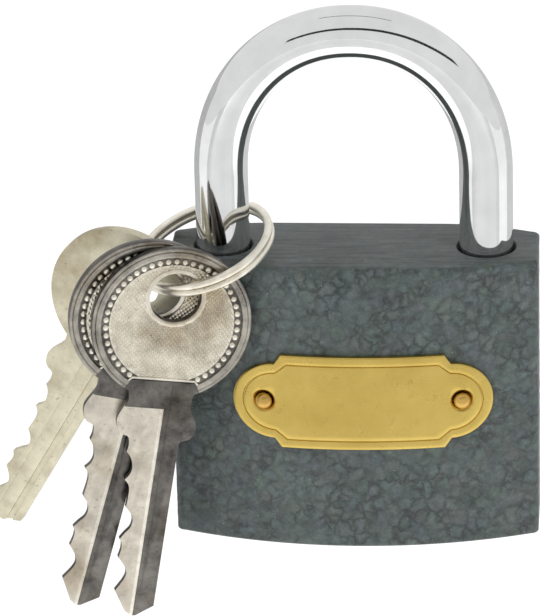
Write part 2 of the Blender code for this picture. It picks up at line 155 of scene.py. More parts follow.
class Shader:
    """A small helper for building one material's nodes."""

    def __init__(self, name, base, metallic, roughness):
        self.material = bpy.data.materials.new(name)
        self.material.use_nodes = True
        self.tree = self.material.node_tree
        self.shader = self.tree.nodes["Principled BSDF"]
        self.shader.inputs["Base Color"].default_value = (*base, 1)
        self.shader.inputs["Metallic"].default_value = metallic
        self.shader.inputs["Roughness"].default_value = roughness
        self.place = self.tree.nodes.new("ShaderNodeTexCoord").outputs["Object"]

    def link(self, a, b):
        self.tree.links.new(a, b)

    def mapped(self, scale):
        node = self.tree.nodes.new("ShaderNodeMapping")
        node.inputs["Scale"].default_value = scale
        self.link(self.place, node.inputs["Vector"])
        return node.outputs["Vector"]

    def noise(self, scale, detail=3.0, stretch=(1, 1, 1), rough=0.55):
        node = self.tree.nodes.new("ShaderNodeTexNoise")
        node.inputs["Scale"].default_value = scale
        node.inputs["Detail"].default_value = detail
        node.inputs["Roughness"].default_value = rough
        self.link(self.mapped(stretch), node.inputs["Vector"])
        return node.outputs["Fac"]

    def warped(self, scale, amount):
        """Object coordinates pushed about by noise, in metres."""
        node = self.tree.nodes.new("ShaderNodeTexNoise")
        node.inputs["Scale"].default_value = scale
        node.inputs["Detail"].default_value = 2.0
        self.link(self.place, node.inputs["Vector"])
        push = self.tree.nodes.new("ShaderNodeVectorMath")
        push.operation = "MULTIPLY_ADD"
        self.link(node.outputs["Color"], push.inputs[0])
        push.inputs[1].default_value = (amount, amount, amount)
        self.link(self.place, push.inputs[2])
        return push.outputs["Vector"]

    def cells(self, scale, feature="DISTANCE_TO_EDGE", vector=None, output="Distance"):
        node = self.tree.nodes.new("ShaderNodeTexVoronoi")
        node.feature = feature
        node.inputs["Scale"].default_value = scale
        self.link(vector or self.place, node.inputs["Vector"])
        return node.outputs[output]

    def facing(self, axis, low, high):
        """From 0 to 1 as the surface's normal along an axis goes from low to high."""
        coordinates = self.tree.nodes.new("ShaderNodeTexCoord")
        split = self.tree.nodes.new("ShaderNodeSeparateXYZ")
        self.link(coordinates.outputs["Normal"], split.inputs[0])
        return self.ramp(split.outputs[axis], ((low, 0.0), (high, 1.0)))

    def ramp(self, value, stops):
        node = self.tree.nodes.new("ShaderNodeValToRGB")
        ramp = node.color_ramp
        while len(ramp.elements) < len(stops):
            ramp.elements.new(0.5)
        for element, (place, colour) in zip(ramp.elements, stops):
            element.position = place
            if isinstance(colour, float):
                colour = (colour, colour, colour)
            element.color = (*colour, 1)
        self.link(value, node.inputs["Fac"])
        return node.outputs["Color"]

    def blend(self, mode, factor, a, b):
        """Mixes two colours. Each may be a node's output, a colour or one grey value."""
        node = self.tree.nodes.new("ShaderNodeMix")
        node.data_type = "RGBA"
        node.blend_type = mode
        sockets = (node.inputs["Factor"], node.inputs[6], node.inputs[7])
        for socket, value in zip(sockets, (factor, a, b)):
            if isinstance(value, (int, float)):
                grey = (value, value, value, 1)
                socket.default_value = value if socket.type == "VALUE" else grey
            elif isinstance(value, tuple):
                socket.default_value = (*value, 1)
            else:
                self.link(value, socket)
        return node.outputs[2]

    def math(self, operation, a, b):
        node = self.tree.nodes.new("ShaderNodeMath")
        node.operation = operation
        for socket, value in ((node.inputs[0], a), (node.inputs[1], b)):
            if isinstance(value, (int, float)):
                socket.default_value = value
            else:
                self.link(value, socket)
        return node.outputs["Value"]

    def bump(self, height, strength, distance, under=None):
        node = self.tree.nodes.new("ShaderNodeBump")
        node.inputs["Strength"].default_value = strength
        node.inputs["Distance"].default_value = distance
        self.link(height, node.inputs["Height"])
        if under:
            self.link(under, node.inputs["Normal"])
        return node.outputs["Normal"]

    def finish(self, colour=None, roughness=None, normal=None):
        if colour:
            self.link(colour, self.shader.inputs["Base Color"])
        if roughness:
            self.link(roughness, self.shader.inputs["Roughness"])
        if normal:
            self.link(normal, self.shader.inputs["Normal"])
        return self.material


def paint_material():
    """Hammered paint: soft cells with dark cracks that fade in and out, and a brushed top."""
    s = Shader("hammered_paint", (0.05, 0.06, 0.06), 0.0, 0.42)
    s.shader.inputs["Coat Weight"].default_value = 0.12
    s.shader.inputs["Coat Roughness"].default_value = 0.3
    bent = s.warped(800.0, 0.0019)
    edge = s.cells(560.0, vector=bent)
    small = s.cells(1350.0, vector=s.warped(2200.0, 0.0014))
    tone = s.cells(560.0, "F1", bent, "Color")
    grain = s.noise(3600.0, 3.0)
    cloud = s.noise(170.0, 4.0)
    top = s.facing("Z", 0.82, 0.96)
    streaks = s.noise(1500.0, 4.0, (0.10, 1.0, 1.0))
    mottle = s.noise(1000.0, 5.0, rough=0.65)
    fade = s.ramp(s.noise(380.0, 3.0), ((0.40, 0.0), (0.60, 0.75)))
    shades = (
        (0.3, (0.044, 0.056, 0.056)),
        (0.5, (0.056, 0.070, 0.069)),
        (0.7, (0.070, 0.085, 0.084)),
    )
    base = s.ramp(cloud, shades)
    tint = s.blend("MIX", 0.06, (0.49, 0.51, 0.49), tone)
    base = s.blend("OVERLAY", 1.0, base, tint)
    cracks = s.ramp(edge, ((0.0, 0.16), (0.10, 0.58), (0.30, 1.08)))
    cracks = s.blend("MIX", fade, cracks, 0.92)
    cracks = s.blend("MULTIPLY", 0.55, cracks, s.ramp(small, ((0.0, 0.55), (0.12, 1.0))))
    brushed = s.ramp(streaks, ((0.34, 0.30), (0.50, 0.68), (0.7, 0.95)))
    cracks = s.blend("MIX", top, cracks, brushed)
    base = s.blend("MULTIPLY", 0.85, base, cracks)
    base = s.blend("MULTIPLY", 0.6, base, s.ramp(grain, ((0.3, 0.72), (0.7, 1.28))))
    mottled = s.ramp(mottle, ((0.32, 0.55), (0.5, 0.95), (0.68, 1.25)))
    base = s.blend("MULTIPLY", 0.75, base, mottled)
    specks = s.ramp(s.cells(1500.0, "F1"), ((0.0, 1.0), (0.11, 0.0)))
    sparse = s.ramp(s.noise(900.0, 1.0), ((0.63, 0.0), (0.68, 1.0)))
    colour = s.blend("MIX", s.math("MULTIPLY", specks, sparse), base, (0.45, 0.50, 0.50))
    rough = s.math("ADD", s.math("MULTIPLY", grain, 0.3), 0.3)
    normal = s.bump(cracks, 0.5, 0.00010)
    normal = s.bump(grain, 0.3, 0.00005, normal)
    return s.finish(colour, rough, normal)


def chrome_material():
    s = Shader("chrome", (0.83, 0.83, 0.84), 1.0, 0.06)
    haze = s.noise(240.0, 4.0)
    fine = s.noise(1800.0, 2.0, (1.0, 1.0, 0.06))
    rough = s.math("ADD", s.math("MULTIPLY", haze, 0.07), 0.025)
    colour = s.ramp(haze, ((0.3, (0.74, 0.745, 0.745)), (0.7, (0.83, 0.835, 0.84))))
    normal = s.bump(fine, 0.05, 0.00004)
    normal = s.bump(s.noise(120.0, 2.0), 0.08, 0.0002, normal)
    return s.finish(colour, rough, normal)


def brass_material(name, light, dark, rough_low, rough_span, brushed=0.10):
    s = Shader(name, light, 1.0, rough_low)
    cloud = s.noise(150.0, 5.0)
    fine = s.noise(2400.0, 2.0, (0.05, 1.0, 1.0))
    spots = s.noise(700.0, 4.0)
    colour = s.ramp(cloud, ((0.3, dark), (0.6, light)))
    tarnish = s.ramp(spots, ((0.22, (0.72, 0.66, 0.55)), (0.36, (1, 1, 1))))
    colour = s.blend("MULTIPLY", 0.6, colour, tarnish)
    rough = s.math("ADD", s.math("MULTIPLY", spots, rough_span), rough_low)
    return s.finish(colour, rough, s.bump(fine, brushed, 0.00004))


def nickel_material(name, light, dark, rough_low, rough_span, brush=0.16, grain=(1.0, 1.0, 0.06)):
    s = Shader(name, light, 1.0, rough_low)
    cloud = s.noise(330.0, 8.0, rough=0.68)
    fine = s.noise(3000.0, 3.0, grain)
    stain = s.noise(120.0, 6.0)
    colour = s.ramp(cloud, ((0.36, dark), (0.62, light)))
    stained = s.ramp(stain, ((0.34, (0.62, 0.56, 0.48)), (0.50, (1, 1, 1))))
    colour = s.blend("MULTIPLY", 0.8, colour, stained)
    pits = s.ramp(s.noise(1500.0, 5.0), ((0.30, 0.45), (0.38, 1.0)))
    colour = s.blend("MULTIPLY", 0.5, colour, pits)
    rough = s.math("ADD", s.math("MULTIPLY", cloud, rough_span), rough_low)
    return s.finish(colour, rough, s.bump(fine, brush, 0.00005))


def steel_material():
    s = Shader("zinc_steel", (0.45, 0.45, 0.46), 1.0, 0.35)
    cloud = s.noise(300.0, 4.0)
    colour = s.ramp(cloud, ((0.3, (0.34, 0.34, 0.33)), (0.7, (0.56, 0.56, 0.57))))
    rough = s.math("ADD", s.math("MULTIPLY", cloud, 0.3), 0.22)
    return s.finish(colour, rough, s.bump(s.noise(2600.0, 2.0), 0.2, 0.00004))


def floor_material():
    s = Shader("pale_floor", (0.86, 0.86, 0.86), 0.0, 0.7)
    s.shader.inputs["Emission Color"].default_value = (1, 1, 1, 1)
    s.shader.inputs["Emission Strength"].default_value = 0.3
    cloud = s.noise(6.0, 3.0)
    return s.finish(s.ramp(cloud, ((0.3, 0.85), (0.7, 0.87))))


PAINT = paint_material()
CHROME = chrome_material()
BRASS = brass_material("satin_brass", (0.64, 0.47, 0.13), (0.56, 0.40, 0.10), 0.22, 0.14)
RIVET_BRASS = brass_material("rivet_brass", (0.66, 0.42, 0.12), (0.44, 0.27, 0.07), 0.2, 0.2)
PLUG_BRASS = brass_material(
    "machined_brass", (0.70, 0.50, 0.20), (0.52, 0.36, 0.14), 0.24, 0.2, 0.2
)
BOW_NICKEL = nickel_material("bow_nickel", (0.92, 0.88, 0.77), (0.68, 0.64, 0.55), 0.2, 0.2)
BLANK_NICKEL = nickel_material(
    "tarnished_nickel", (0.20, 0.188, 0.172), (0.075, 0.07, 0.066), 0.18, 0.3
)
# The rim band's darker nickel is painted shade on the band round the bow's edge.
RIM_SHADE_NICKEL = nickel_material("rim_painted_shade_nickel", (0.50, 0.47, 0.41), (0.24, 0.225, 0.20), 0.2, 0.2)
MILLED_NICKEL = nickel_material(
    "milled_nickel", (0.74, 0.69, 0.59), (0.52, 0.48, 0.41), 0.3, 0.2
)
PLAIN_NICKEL = nickel_material(
    "milky_nickel", (0.72, 0.68, 0.53), (0.58, 0.54, 0.41), 0.42, 0.2
)
RING_NICKEL = nickel_material(
    "ring_nickel", (1.0, 0.97, 0.86), (0.88, 0.84, 0.73), 0.3, 0.2, 0.08, (1, 1, 1)
)
STEEL = steel_material()


# ---------------------------------------------------------------- mesh helpers

def add_mesh(name, points, faces, material, sharp=38, normals=True):
    """Makes an object, smooth except at edges sharper than an angle in degrees."""
    mesh = bpy.data.meshes.new(name)
    placed = [(p[0] * MM, p[1] * MM, (p[2] - CROWN_INSIDE) * MM) for p in points]
    mesh.from_pydata(placed, [], faces)
    if normals:
        work = bmesh.new()
        work.from_mesh(mesh)
        bmesh.ops.recalc_face_normals(work, faces=work.faces)
        work.to_mesh(mesh)
        work.free()
    mesh.shade_smooth()
    mesh.set_sharp_from_angle(angle=math.radians(sharp))
    obj = bpy.data.objects.new(name, mesh)
    bpy.context.scene.collection.objects.link(obj)
    if material:
        mesh.materials.append(material)
    return obj


def loft(name, rings, material=None, sharp=38, closed=False):
    """Skins rings of points, with an end face at each end unless the rings close on themselves."""
    count = len(rings[0])
    points = [point for ring in rings for point in ring]
    faces = [] if closed else [list(range(count))[::-1]]
    for r in range(len(rings) - (0 if closed else 1)):
        s = (r + 1) % len(rings)
        for i in range(count):
            j = (i + 1) % count
            faces.append([r * count + i, r * count + j, s * count + j, s * count + i])
    if not closed:
        faces.append([(len(rings) - 1) * count + i for i in range(count)])
    return add_mesh(name, points, faces, material, sharp)


def lathe(name, start, axis, profile, sides, material=None, sharp=38):
    """Turns a (distance, radius) profile round an axis."""
    along = Vector(axis).normalized()
    first = along.orthogonal().normalized()
    second = along.cross(first)
    rings = []
    for distance, radius in profile:
        centre = Vector(start) + along * distance
        ring = []
        for i in range(sides):
            angle = 2 * math.pi * i / sides
            ring.append(centre + (first * math.cos(angle) + second * math.sin(angle)) * radius)
        rings.append(ring)
    return loft(name, rings, material, sharp)


def rod(name, start, end, radius, sides):
    start = Vector(start)
    end = Vector(end)
    return lathe(name, start, end - start, [(0, radius), ((end - start).length, radius)], sides)


def box(name, low, high):
    x0, y0, z0 = low
    x1, y1, z1 = high
    return loft(name, [[(x0, y0, z), (x1, y0, z), (x1, y1, z), (x0, y1, z)] for z in (z0, z1)])


def apply_modifiers(obj):
    graph = bpy.context.evaluated_depsgraph_get()
    mesh = bpy.data.meshes.new_from_object(obj.evaluated_get(graph))
    obj.modifiers.clear()
    old = obj.data
    obj.data = mesh
    bpy.data.meshes.remove(old)


def cut(target, *tools, operation="DIFFERENCE"):
    """Cuts each tool from the target, keeps the result and removes the tools."""
    for tool in tools:
        modifier = target.modifiers.new("cut", "BOOLEAN")
        modifier.operation = operation
        modifier.solver = "EXACT"
        modifier.object = tool
    apply_modifiers(target)
    for tool in tools:
        bpy.data.objects.remove(tool)


def smooth(obj, sharp):
    obj.data.shade_smooth()
    obj.data.set_sharp_from_angle(angle=math.radians(sharp))


def soften(obj, width, angle=35):
    """Rounds every edge sharper than an angle in degrees."""
    modifier = obj.modifiers.new("soften", "BEVEL")
    modifier.width = width * MM
    modifier.segments = 2
    modifier.limit_method = "ANGLE"
    modifier.angle_limit = math.radians(angle)
    apply_modifiers(obj)


def join(name, objects):
    """Joins objects into one, with the first one's material and every face's material index."""
    work = bmesh.new()
    for obj in objects:
        work.from_mesh(obj.data)
    first = objects[0]
    material = first.data.materials[0] if first.data.materials else None
    mesh = bpy.data.meshes.new(name)
    work.to_mesh(mesh)
    work.free()
    if material:
        mesh.materials.append(material)
    for obj in objects:
        bpy.data.objects.remove(obj)
    obj = bpy.data.objects.new(name, mesh)
    bpy.context.scene.collection.objects.link(obj)
    return obj


def place(obj, body, node, slot):
    """Makes a piece stand for a CAD node and ride on its body."""
    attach(obj, body)
    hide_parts(node)


# ---------------------------------------------------------------- body

def half_thickness(x):
    return math.sqrt(max(BULGE_R ** 2 - x ** 2, 0.0)) - BULGE_AXIS_Y


def rivet_line(side):
    x = PLATE_X + side * RIVET_X
    slope = math.asin(x / BULGE_R)
    return Vector((x, -half_thickness(x), PLATE_Z)), Vector((math.sin(slope), -math.cos(slope), 0))


def smooth_min(a, b, k):
    h = max(k - abs(a - b), 0.0) / k
    return min(a, b) - h * h * k / 4


def body_plan():
    """(x, y) round the body, with its four upright corners rounded."""
    inner = HALF_WIDTH - CORNER_R
    steps = 150
    points = []
    for i in range(steps + 1):
        x = -inner + 2 * inner * i / steps
        points.append((x, half_thickness(x)))
    edge = half_thickness(inner)
    right = []
    for k in range(1, 7):
        angle = math.pi / 2 * (1 - k / 6)
        y = edge - CORNER_R + CORNER_R * math.sin(angle)
        right.append((inner + CORNER_R * math.cos(angle), y))
    low = right[-1][1]
    front = [(-x, y) for x, y in reversed(right)] + points + right
    side = [low * (1 - 2 * k / 16) for k in range(1, 16)]
    outline = [(x, -y) for x, y in front]
    outline += [(HALF_WIDTH, -y) for y in side]
    outline += [(x, y) for x, y in reversed(front)]
    outline += [(-HALF_WIDTH, y) for y in side]
    return outline


def hammer(point):
    """Height of the hammered paint's relief in millimetres: shallow cells with sunk borders."""
    bent = point * 0.55 + noise.noise_vector(point * 0.5) * 0.75
    near = noise.voronoi(bent)[0]
    border = min((near[1] - near[0]) * 3.0, 1.0)
    swell = noise.noise(point * 0.14)
    return 0.034 * (border - 1.0) + 0.03 * swell + 0.012 * noise.noise(point * 1.9)


def body_levels():
    """Heights of the body's rings, closest at its rounded edges and over the bevel."""
    low = -BODY_DEEP + EDGE_R
    rows = 96
    levels = [-BODY_DEEP + EDGE_R * (1 - math.cos(math.pi / 2 * k / 6)) for k in range(7)]
    levels += [low + (-TOP_ROWS - low) * k / rows for k in range(1, rows)]
    levels += [-TOP_ROWS + (TOP_ROWS - EDGE_R) * k / 24 for k in range(24)]
    levels += [-EDGE_R * (1 - math.sin(math.pi / 2 * k / 6)) for k in range(7)]
    return levels


def body_ring(plan, z):
    low = -BODY_DEEP + EDGE_R
    past = max(z + EDGE_R, low - z, 0.0)
    inset = EDGE_R - math.sqrt(max(EDGE_R ** 2 - past ** 2, 0.0))
    limit = TOP_HALF - z / BEVEL_SLOPE
    fade = max(min(-z / 0.8, (z + BODY_DEEP) / 0.8, 1.0), 0.0)
    ring = []
    for x, y in plan:
        deep = smooth_min(abs(y), limit, 0.9) if abs(y) > 3.0 else abs(y)
        deep = max(deep - inset * min(abs(y) / 3.0, 1.0), 0.0)
        wide = x * (HALF_WIDTH - inset) / HALF_WIDTH
        point = Vector((wide, math.copysign(deep, y), z))
        lean = x * 0.25 if abs(x) > 24.0 else x / BULGE_R
        out = Vector((lean, math.copysign(1.0, y), 0)).normalized()
        ring.append(point + out * hammer(point) * fade)
    return ring


def body_piece():
    plan = body_plan()
    body = loft("cast_body", [body_ring(plan, z) for z in body_levels()], PAINT, 40)
    tools = []
    for name, x, deep in (("toe", -LEG_X, -12.4), ("heel", LEG_X, -38.5)):
        wide = BORE_R + 0.3
        bore = [(0, BORE_R), (-deep - 0.35, BORE_R), (-deep + 0.02, wide), (2.0 - deep, wide)]
        tools.append(lathe(name, (x, 0, deep), (0, 0, 1), bore, 72))
    tools.append(box("channel", (-LEG_X, -3.3, -9.0), (9.8, 3.3, -4.0)))
    end = BODY_DEEP + PLUG_BORE_TOP
    bore = [(0, PLUG_BORE_R), (end - 0.4, PLUG_BORE_R), (end + 0.02, 5.5), (40.0, 5.5)]
    tools.append(lathe("plug_hole", (PLUG_X, 0, PLUG_BORE_TOP), (0, 0, -1), bore, 96))
    for z in PIN_HEIGHTS:
        tools.append(rod("chamber", (-30, 0, z), (PLUG_X - 3, 0, z), CHAMBER_R, 28))
    for x, z, radius in ((13.9, -16.4, 1.32), (7.3, -14.2, 1.12)):
        tools.append(rod("pin_hole", (x, -15, z), (x, 4.5, z), radius, 24))
    for side in (-1, 1):
        foot, out = rivet_line(side)
        tools.append(rod("rivet_hole", foot - out * 4.0, foot + out * 5.0, 1.0, 24))
    cut(body, *tools)
    smooth(body, 40)
    place(body, "lock", "lock_body", "body_paint")


# ---------------------------------------------------------------- shackle

def arch_path(count):
    path = []
    for i in range(count + 1):
        angle = math.pi * (1 - i / count)
        c = math.cos(angle)
        s = math.sin(angle)
        x = LEG_X * math.copysign(abs(c) ** (2 / ARCH_POWER), c)
        path.append((x, ARCH_START + ARCH_RISE * abs(s) ** (2 / ARCH_POWER)))
    return path


def even(path, count):
    """The same line through path, with its points evenly spaced."""
    lengths = [0.0]
    for a, b in zip(path, path[1:]):
        lengths.append(lengths[-1] + math.dist(a, b))
    made = []
    k = 0
    for i in range(count + 1):
        at = lengths[-1] * i / count
        while k < len(lengths) - 2 and lengths[k + 1] < at:
            k += 1
        t = (at - lengths[k]) / max(lengths[k + 1] - lengths[k], 1e-9)
        made.append(tuple(a + (b - a) * t for a, b in zip(path[k], path[k + 1])))
    return made


def shackle_piece():
    """A round bar along (x, z, radius), from the toe's end over the arch to the heel's."""
    path = []
    for k in range(5):
        angle = math.pi / 2 * k / 4
        z = -11.5 + 0.7 * (1 - math.cos(angle))
        path.append((-LEG_X, z, BAR_R - 0.7 * (1 - math.sin(angle))))
    path.append((-LEG_X, -3.0, BAR_R))
    path += [(x, z, BAR_R) for x, z in [(-LEG_X, 2.0), (-LEG_X, 6.0)] + even(arch_path(1200), 200)]
    heel = [(6.0, BAR_R), (2.0, BAR_R), (-13.6, BAR_R), (-14.0, BAR_R - 0.4)]
    heel += [(-14.1, HEEL_NECK_R + 0.1), (-14.4, HEEL_NECK_R)]
    heel += [(-29.6, HEEL_NECK_R), (-29.9, HEEL_NECK_R + 0.1)]
    heel += [(-30.0, BAR_R - 0.3), (-30.3, BAR_R), (-32.4, BAR_R), (-33.0, BAR_R - 0.6)]
    path += [(LEG_X, z, radius) for z, radius in heel]
    rings = []
    sides = 96
    for i, (x, z, radius) in enumerate(path):
        before = path[max(i - 1, 0)]
        after = path[min(i + 1, len(path) - 1)]
        run = Vector((after[0] - before[0], 0, after[1] - before[1])).normalized()
        across = Vector((run.z, 0, -run.x))
        ring = []
        for k in range(sides):
            angle = 2 * math.pi * k / sides
            out = across * math.cos(angle) + Vector((0, 1, 0)) * math.sin(angle)
            ring.append(Vector((x, 0, z)) + out * radius)
        rings.append(ring)
    bar = loft("bent_shackle", rings, CHROME, 30)
    inner = -LEG_X + BAR_R
    cut(bar, box("notch", (inner - 2.3, -5, -9.2), (inner + 2, 5, -3.8)))
    smooth(bar, 30)
    place(bar, "shackle", "shackle", "shackle_chrome")


# ---------------------------------------------------------------- name plate

def plate_ring(d, height):
    """The plate's outline drawn in by d, at a height above the body's front face."""
    wide = PLATE_HALF - 0.62 * d
    high = PLATE_HIGH - d
    lobe = LOBE_R - d
    centre = LOBE_X - 0.1 * d
    right = []
    for k in range(41):
        right.append((wide * k / 40, high))
    for k in range(1, 6):
        right.append((wide + (centre - wide) * k / 6, high + (lobe - high) * k / 6))
    for k in range(57):
        angle = math.pi / 2 - math.pi * k / 56
        right.append((centre + lobe * math.cos(angle), lobe * math.sin(angle)))
    for k in range(1, 6):
        right.append((centre + (wide - centre) * k / 6, -lobe + (lobe - high) * k / 6))
    for k in range(41):
        right.append((wide * (1 - k / 40), -high))
    left = [(-x, z) for x, z in reversed(right)][1:-1]
    reach = BULGE_R + height
    ring = []
    for x, z in right + left:
        slope = math.asin((x + PLATE_X) / BULGE_R)
        y = BULGE_AXIS_Y - reach * math.cos(slope)
        ring.append(Vector((reach * math.sin(slope), y, PLATE_Z + z)))
    return ring


def plate_piece():
    """Pressed sheet: a rounded rim, a raised border, a fine groove and a flat field."""
    rings = [plate_ring(0.9, PLATE_UNDER), plate_ring(0.0, PLATE_UNDER)]
    section = [(0.0, 0.22), (0.05, 0.12), (0.13, 0.05), (0.26, 0.0), (0.7, 0.0), (1.14, 0.0)]
    section += [(1.22, 0.03), (1.29, 0.18), (1.39, 0.18), (1.46, 0.03), (1.54, 0.0), (2.2, 0.0)]
    section += [(3.0, 0.0)]
    for d, drop in section:
        rings.append(plate_ring(d, PLATE_TOP - drop))
    count = len(rings[0])
    points = [p for ring in rings for p in ring]
    faces = []
    for r in range(len(rings) - 1):
        for i in range(count):
            j = (i + 1) % count
            faces.append([r * count + i, r * count + j, (r + 1) * count + j, (r + 1) * count + i])
    tip = 41 + 5 + 28  # the point at the right lobe's end
    for start in (0, (len(rings) - 1) * count):
        pairs = []
        for k in range(count // 2):
            pairs.append((start + (tip - k) % count, start + (tip + k) % count))
        for (a, b), (c, e) in zip(pairs, pairs[1:]):
            faces.append(list(dict.fromkeys([a, c, e, b])))
        a, b = pairs[-1]
        faces.append([a, start + (tip + count // 2) % count, b])
    plate = add_mesh("brass_name_plate", points, faces, BRASS, 40)
    profile = [(-1.5, 1.0), (0.12, 1.0), (0.36, 1.12), (0.62, 1.42), (0.80, 1.66), (0.9, 1.85)]
    profile += [(2, 1.9)]
    tools = []
    for side in (-1, 1):
        foot, out = rivet_line(side)
        tools.append(lathe("dimple", foot, out, profile, 48))
    cut(plate, *tools)
    smooth(plate, 40)
    place(plate, "lock", "name_plate", "plate_brass")


def rivet_pieces():
    for name, side in (("rivet_left", -1), ("rivet_right", 1)):
        foot, out = rivet_line(side)
        profile = [(-3.3, 0.6), (-2.9, 0.8), (0.15, 0.8), (0.42, 1.05)]
        radius = 1.17
        for k in range(13):
            angle = math.pi / 2 * k / 12
            profile.append((0.72 + 0.92 * math.sin(angle), max(radius * math.cos(angle), 0.02)))
        rivet = lathe("domed_" + name, foot, out, profile, 48, RIVET_BRASS, 40)
        place(rivet, "lock", name, "rivet_brass")


# ---------------------------------------------------------------- cylinder

def plug_piece():
    low = -41.1
    profile = [(0.0, 4.45), (0.12, 4.62), (0.3, 4.9), (0.5, PLUG_R)]
    groove = -14.2 - low
    profile += [(groove - 1.3, PLUG_R), (groove - 1.3, 4.0)]
    profile += [(groove + 1.3, 4.0), (groove + 1.3, PLUG_R)]
    profile += [(31.5, PLUG_R), (31.7, 4.8)]
    plug = lathe("key_cylinder", (PLUG_X, 0, low), (0, 0, 1), profile, 96, PLUG_BRASS)
    cam = rod("cam", (PLUG_X + 2.2, 0, -10.4), (PLUG_X + 2.2, 0, -7.4), 1.1, 40)
    cut(plug, cam, operation="UNION")
    tools = [box("keyway", (PLUG_X - 1.15, -3.7, -50), (PLUG_X + 1.15, 3.7, -17.5))]
    tools.append(box("warding", (PLUG_X - 1.6, 1.2, -50), (PLUG_X + 0.5, 2.2, -17.5)))
    for z in PIN_HEIGHTS:
        tools.append(rod("hole", (PLUG_X, -1.0, z), (PLUG_X, -7, z), CHAMBER_R, 32))
    for r in (2.2, 3.3):
        rings = []
        for a in range(96):
            angle = 2 * math.pi * a / 96
            out = Vector((math.cos(angle), math.sin(angle), 0))
            centre = Vector((PLUG_X, 0, low)) + out * (r + 0.55)
            under = Vector((0, 0, -0.1))
            peak = Vector((0, 0, 0.07))
            rings.append([centre + out * 0.10 + under, centre + peak, centre - out * 0.10 + under])
        tools.append(loft("turned_line", rings, closed=True))
    cut(plug, *tools)
    smooth(plug, 35)
    place(plug, "plug", "plug", "plug_brass")


# ---------------------------------------------------------------- ring

def ring_piece():
    """A flattened wire wound almost twice, with thinned ends."""
    turn = math.radians(RING_TURN)
    tilt = math.radians(RING_TILT)
    flat = Vector((math.cos(turn), math.sin(turn), 0))
    upright = Vector((0, 0, 1))
    normal = flat * math.sin(tilt) + upright * math.cos(tilt)
    down = flat * math.cos(tilt) - upright * math.sin(tilt)
    side = normal.cross(down)
    begins, spread = RING_CROSS
    wide, thick = RING_WIRE
    rings = []
    count = 520
    for i in range(count + 1):
        swept = RING_SWEEP * i / count
        angle = math.radians(RING_START + swept)
        out = down * math.cos(angle) + side * math.sin(angle)
        cross = min(max((swept - begins) / spread, 0.0), 1.0)
        level = -math.cos(math.pi * cross) * RING_LEVEL
        end = min(swept, RING_SWEEP - swept)
        slim = min(0.55 + 0.45 * end / 3.0, 1.0)
        centre = RING_AT + out * RING_R + normal * level
        ring = []
        for k in range(20):
            a = 2 * math.pi * k / 20
            c = math.copysign(abs(math.cos(a)) ** 0.8, math.cos(a))
            s = math.copysign(abs(math.sin(a)) ** 0.8, math.sin(a))
            ring.append(centre + out * c * wide * slim + normal * s * thick * slim)
        rings.append(ring)
    ring = loft("coiled_split_ring", rings, RING_NICKEL, 50)
    place(ring, "ring", "split_ring", "ring_steel")


# ---------------------------------------------------------------- keys

def in_key(pose, u, v, height):
    """A point of a key: u across, v up from the bow's centre, height off the middle plane."""
    hole, up, face = pose
    across = up.cross(face).normalized()
    upright = face.cross(across).normalized()
    return hole + across * u + upright * (v - HOLE_UP) + face.normalized() * height


def key_outline():
    """Round the bow, down the left shoulder and the cuts, and up the spine."""
    points = []
    start = math.asin(4.5 / BOW_R)
    for i in range(121):
        angle = -math.pi / 2 + start + (2 * math.pi - 2 * start) * i / 120
        points.append((BOW_R * math.cos(angle), BOW_R * math.sin(angle)))
    left = [(-4.35, -10.6), (-4.4, -11.6), (-5.2, -13.4), (-5.45, -14.4), (-5.2, -15.6)]
    points += smooth_line(left + [(-4.6, -16.4), (-3.7, -16.7)], 4)
    for run in KEY_CUTS:
        cuts = [(SPINE_U - width, STOP_V - distance) for distance, width in run]
        points += smooth_line(cuts, 3)[:-1]
    points.append((SPINE_U - KEY_CUTS[-1][-1][1], STOP_V - KEY_CUTS[-1][-1][0]))
    points += [(-0.4, STOP_V - 25.6), (0.35, STOP_V - 26.1), (1.1, STOP_V - 26.0)]
    points += [(SPINE_U, STOP_V - 24.4), (SPINE_U, STOP_V - 0.2), (3.7, STOP_V + 0.1)]
    right = [(4.8, -16.5), (5.3, -15.8), (5.45, -14.9), (5.3, -13.9), (4.6, -12.6)]
    return points + smooth_line(right + [(4.35, -11.6), (4.35, -10.6)], 4)


def smooth_line(points, steps):
    """A Catmull-Rom line through the points."""
    made = []
    for i in range(len(points) - 1):
        a = points[max(i - 1, 0)]
        b = points[i]
        c = points[i + 1]
        d = points[min(i + 2, len(points) - 1)]
        for k in range(steps):
            t = k / steps
            spot = []
            for p, q, r, s in zip(a, b, c, d):
                bend = (2 * p - 5 * q + 4 * r - s) * t * t
                twist = (3 * q - p - 3 * r + s) * t ** 3
                spot.append(0.5 * (2 * q + (r - p) * t + bend + twist))
            made.append(tuple(spot))
    made.append(points[-1])
    return made


def key_solid(name, pose, outline, low, high, material=None):
    rings = [[in_key(pose, u, v, height) for u, v in outline] for height in (low, high)]
    return loft(name, rings, material, 30)


def rectangle(u0, u1, v0, v1):
    return [(u0, v0), (u1, v0), (u1, v1), (u0, v1)]


def circle(radius, v, count):
    turns = [2 * math.pi * k / count for k in range(count)]
    return [(radius * math.cos(turn), v + radius * math.sin(turn)) for turn in turns]


def swept(pose, profile, v, angles):
    """A (radius, height) profile at each angle round a centre on the key's middle line."""
    rings = []
    for angle in angles:
        c = math.cos(angle)
        s = math.sin(angle)
        rings.append([in_key(pose, r * c, v + r * s, h) for r, h in profile])
    return rings


